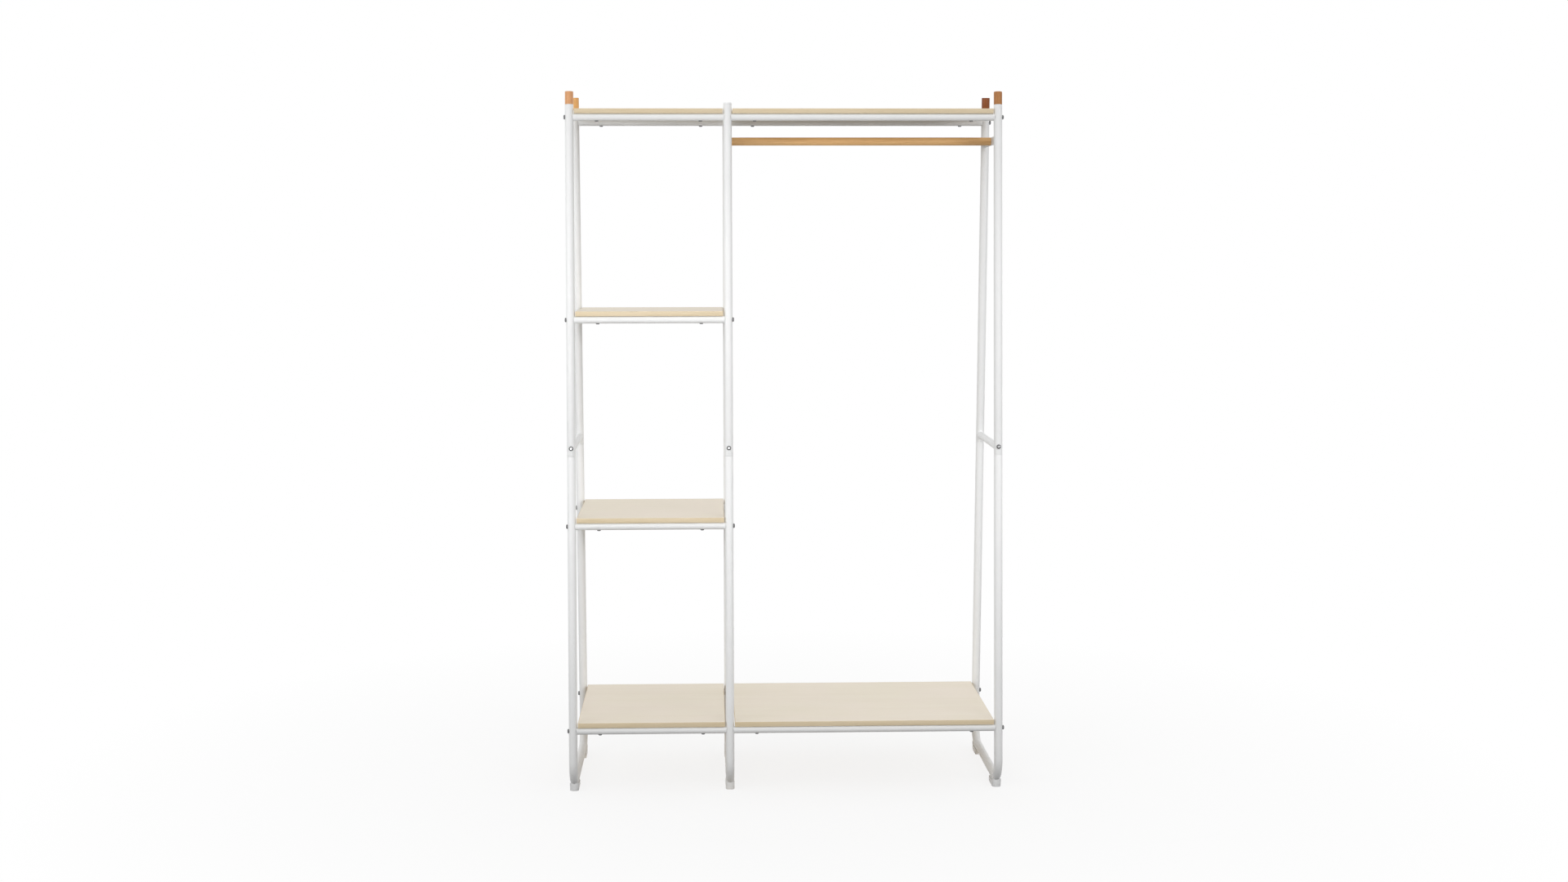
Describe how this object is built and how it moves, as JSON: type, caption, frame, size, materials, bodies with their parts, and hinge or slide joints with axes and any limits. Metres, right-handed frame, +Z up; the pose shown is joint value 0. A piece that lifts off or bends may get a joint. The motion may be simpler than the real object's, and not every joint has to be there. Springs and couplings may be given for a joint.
{
  "type": "hall tree",
  "caption": "Open free-standing hall tree of white steel tube with leaning A-frames, pale wood shelves in a narrow bay and a wooden hanging rod over a wide bay.",
  "frame": {"origin": "on the floor, at the middle of the footprint", "axes": "+X to the right seen from the front, +Y to the rear, +Z up"},
  "size_m": [1.0596, 0.4502, 1.7002],
  "materials": {
    "white_steel": "white powder coat, satin",
    "shelf_board": "pale wood, matt, with a light edge band",
    "natural_wood": "plain wood, satin lacquer",
    "white_plastic": "white moulded plastic",
    "bright_zinc": "bright zinc plate"
  },
  "bodies": {
    "root": {"left_front_post": "white_steel", "left_front_foot": "white_plastic", "left_rear_post": "white_steel", "left_rear_foot": "white_plastic", "left_crossbar": "white_steel", "left_lower_frame": "white_steel", "middle_front_post": "white_steel", "middle_front_foot": "white_plastic", "middle_rear_post": "white_steel", "middle_rear_foot": "white_plastic", "middle_crossbar": "white_steel", "middle_lower_frame": "white_steel", "right_front_post": "white_steel", "right_front_foot": "white_plastic", "right_rear_post": "white_steel", "right_rear_foot": "white_plastic", "right_crossbar": "white_steel", "right_lower_frame": "white_steel", "middle_rod_bar": "white_steel", "right_rod_bar": "white_steel", "left_front_cap": "natural_wood", "right_front_cap": "natural_wood", "middle_front_plug": "white_plastic", "left_rear_cap": "natural_wood", "right_rear_cap": "natural_wood", "middle_rear_plug": "white_plastic", "top_left_front_rail": "white_steel", "top_left_rear_rail": "white_steel", "top_left_board": "shelf_board", "top_right_front_rail": "white_steel", "top_right_rear_rail": "white_steel", "top_right_board": "shelf_board", "second_front_rail": "white_steel", "second_rear_rail": "white_steel", "second_board": "shelf_board", "third_front_rail": "white_steel", "third_rear_rail": "white_steel", "third_board": "shelf_board", "bottom_left_front_rail": "white_steel", "bottom_left_rear_rail": "white_steel", "bottom_left_board": "shelf_board", "bottom_right_front_rail": "white_steel", "bottom_right_rear_rail": "white_steel", "bottom_right_board": "shelf_board", "hanging_rod": "natural_wood"}
  },
  "joints": []
}
